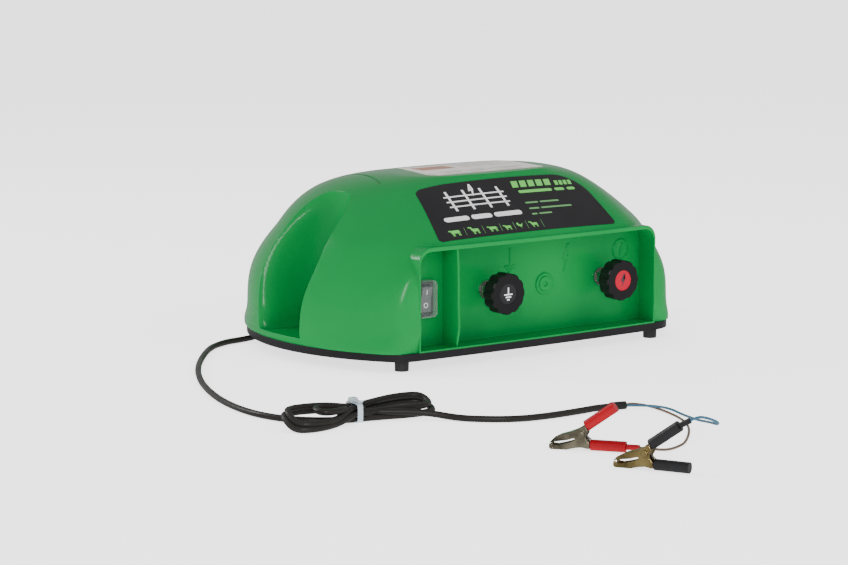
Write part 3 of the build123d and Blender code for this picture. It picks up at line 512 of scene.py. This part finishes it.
def hank_points():
    """The turns of the tied surplus: alternately to the right and left of the tie."""
    points = []
    for i, (side, reach, spread, z_out, z_back) in enumerate(HALF_TURNS):
        (y0, z0), (y1, z1) = NECK[i], NECK[i + 1]
        near = -1 if side > 0 else 1
        points.append((side * -4, y0, z0))
        points.append((side * 5, y0, z0))
        loop = [
            (0.33, 0.55, z_out), (0.62, 0.95, z_out), (0.86, 0.92, z_out), (0.985, 0.45, z_out),
            (0.985, -0.45, z_back), (0.86, -0.92, z_back), (0.62, -0.95, z_back), (0.33, -0.55, z_back),
        ]
        for share, across, z in loop:
            points.append((side * share * reach, near * across * spread, z))
    points.append((-5, *NECK[-1]))
    points.append((6, *NECK[-1]))
    points.append((20, -8, 7.0))
    return [(HANK_X + x, HANK_Y + y, z) for x, y, z in points]


def declare_cord(obj, diameter, exit_point, far_end, **facts):
    """Measures a cord along its line and makes it round."""
    length = length_of(centreline(obj))
    obj.data.bevel_depth = diameter * MM / 2
    obj.data.bevel_resolution = 5
    obj.data.use_fill_caps = True
    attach(obj, "housing")


def tube_mesh(name, path, radius, mat, sides=12):
    """A round tube along a path, closed at both ends."""
    mesh = bmesh.new()
    rings = []
    side = Vector((0, 0, 1))
    for i, point in enumerate(path):
        ahead = (path[min(i + 1, len(path) - 1)] - path[max(i - 1, 0)]).normalized()
        side = (side - ahead * side.dot(ahead)).normalized()
        other = ahead.cross(side)
        turns = [2 * math.pi * k / sides for k in range(sides)]
        rings.append([mesh.verts.new(point + (side * math.cos(a) + other * math.sin(a)) * radius)
                      for a in turns])
    for low, high in zip(rings, rings[1:]):
        for k in range(sides):
            j = (k + 1) % sides
            mesh.faces.new((low[k], low[j], high[j], high[k])).smooth = True
    mesh.faces.new(rings[0][::-1])
    mesh.faces.new(rings[-1])
    return new_object(name, mesh, mat)


# the tie's band in millimetres: half its length, its foot and top, its corner, its half width and thickness
TIE_HALF = 8.8
TIE_LOW = 0.25
TIE_HIGH = 16.0
TIE_CORNER = 3.4
TIE_HALF_W = 2.3
TIE_T = 1.1
TIE_HEAD = ((-2.9, 2.9), (-1.2, 4.4), (15.4, 19.0))
TIE_TAIL = ((-2.1, 2.1), (-9.0, -1.2), (16.6, 17.6))
BOX_FACES = ((3, 2, 1, 0), (4, 5, 6, 7), (0, 1, 5, 4), (1, 2, 6, 5), (2, 3, 7, 6), (3, 0, 4, 7))


def tie_outline():
    """The centre of the band's corner arc and the way out of it, at each station round the bundle."""
    outline = []
    mid_z = (TIE_LOW + TIE_HIGH) / 2
    corners = ((TIE_HALF, TIE_HIGH, 0), (-TIE_HALF, TIE_HIGH, 90), (-TIE_HALF, TIE_LOW, 180),
               (TIE_HALF, TIE_LOW, 270))
    for cy, cz, first in corners:
        for step in range(7):
            a = math.radians(first + 15 * step)
            inset_y = cy - math.copysign(TIE_CORNER, cy)
            inset_z = cz - math.copysign(TIE_CORNER, cz - mid_z)
            outline.append((inset_y, inset_z, math.cos(a), math.sin(a)))
    return outline


def tie_vertex(mesh, x, y, z):
    return mesh.verts.new(((HANK_X + x) * MM, (HANK_Y + y) * MM, z * MM))


def tie_band():
    """The nylon tie: a band round the bundle, with its square head and cut tail."""
    mesh = bmesh.new()
    inner = TIE_CORNER - TIE_T
    profile = ((-TIE_HALF_W, inner), (TIE_HALF_W, inner),
               (TIE_HALF_W, TIE_CORNER), (-TIE_HALF_W, TIE_CORNER))
    rings = []
    for cy, cz, dy, dz in tie_outline():
        rings.append([tie_vertex(mesh, x, cy + dy * r, cz + dz * r) for x, r in profile])
    for i, low_ring in enumerate(rings):
        high_ring = rings[(i + 1) % len(rings)]
        for k in range(4):
            j = (k + 1) % 4
            mesh.faces.new((low_ring[k], low_ring[j], high_ring[j], high_ring[k]))
    for (x0, x1), (y0, y1), (z0, z1) in (TIE_HEAD, TIE_TAIL):
        corners = [tie_vertex(mesh, x, y, z)
                   for z in (z0, z1) for x, y in ((x0, y0), (x1, y0), (x1, y1), (x0, y1))]
        for face in BOX_FACES:
            mesh.faces.new([corners[k] for k in face])
    bmesh.ops.recalc_face_normals(mesh, faces=mesh.faces[:])
    obj = new_object("cable_tie_band", mesh, nylon)
    soften = obj.modifiers.new("edges", "BEVEL")
    soften.width = 0.25 * MM
    soften.segments = 2
    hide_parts("cable_tie")
    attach(obj, "housing")
    return obj


CLIP_NODES = [n for n in NODES if "clip_" in n]
cable = cord_curve("battery_cable", LEAD_IN + hank_points() + LEAD_OUT, cable_black)
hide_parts("cable_lead_in", "cable_hank", "cable_lead_out")
declare_cord(cable, CABLE_D, LEAD_IN[0], "fitting", stiffness="medium", lay="loose",
             with_pieces=[tie_band(), NODES["cable_end_sleeve"]])
brown = cord_curve("brown_wire", WIRE_BROWN, brown_skin)
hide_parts("wire_brown")
declare_cord(brown, CORE_D, WIRE_BROWN[0], "connector", stiffness="limp", lay="loose",
             with_pieces=[NODES[n] for n in CLIP_NODES if n.startswith("red")])
blue_line = cord_curve("blue_line", WIRE_BLUE, blue_skin)
blue_path = centreline(blue_line)
bpy.data.objects.remove(blue_line)
blue = tube_mesh("blue_wire", blue_path, CORE_D * MM / 2, blue_skin)
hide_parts("wire_blue")
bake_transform(blue)


# ---- floor, lights and camera ------------------------------------------------------------------
def area_light(name, place, aim, size, power, mirrored=True):
    """A softbox; one that isn't mirrored lights surfaces without showing in their gloss."""
    light = bpy.data.lights.new(name, "AREA")
    light.shape = "RECTANGLE"
    light.size, light.size_y = size
    light.energy = power
    obj = bpy.data.objects.new(name, light)
    bpy.context.collection.objects.link(obj)
    obj.location = place
    obj.rotation_euler = (Vector(aim) - Vector(place)).to_track_quat("-Z", "Y").to_euler()
    obj.visible_glossy = mirrored


def studio():
    world = bpy.data.worlds.new("studio")
    bpy.context.scene.world = world
    world.use_nodes = True
    sky = world.node_tree.nodes["Background"]
    sky.inputs["Color"].default_value = (1, 1, 1, 1)
    sky.inputs["Strength"].default_value = 0.5
    bpy.ops.mesh.primitive_plane_add(size=14, location=(0, 0, 0))
    floor = bpy.context.object
    floor.name = "floor"
    mat = new_material("floor_paper", Roughness=0.95, Specular_IOR_Level=0.1,
                       Emission_Color=(1, 1, 1, 1), Emission_Strength=1.9)
    link(mat, two_tone(mat, noise(mat, 2), (0.93, 0.93, 0.93), (0.96, 0.96, 0.96)),
         shader_of(mat).inputs["Base Color"])
    floor.data.materials.append(mat)
    floor.visible_glossy = False
    area_light("key_right", (0.9, -1.9, 1.5), (0, 0, 0.08), (1.5, 1.1), 20, mirrored=False)
    area_light("fill_left", (-1.7, -1.2, 1.0), (0, 0, 0.08), (0.9, 0.9), 5, mirrored=False)
    area_light("top_soft", (0.0, 0.4, 1.7), (0, 0, 0.1), (1.5, 0.9), 8, mirrored=False)
    area_light("corner_strip", (-1.25, -1.75, 0.8), (-0.12, -0.05, 0.1), (0.045, 0.9), 14)
    area_light("rear_strip", (-1.1, 1.3, 0.9), (-0.15, 0, 0.1), (0.05, 1.1), 12)


def photo_camera():
    """Seen from the left front: azimuth 36 degrees, 9 degrees above level."""
    azimuth, elevation = math.radians(36), math.radians(9)
    camera = bpy.data.cameras.new("camera")
    camera.sensor_width = 36.0
    camera.lens = 118.87
    camera.clip_end = 50
    obj = bpy.data.objects.new("camera", camera)
    bpy.context.collection.objects.link(obj)
    obj.location = (-1.4739, -1.9731, 0.4392)
    obj.rotation_euler = (math.pi / 2 - elevation, 0, -azimuth)
    bpy.context.scene.camera = obj


studio()
photo_camera()
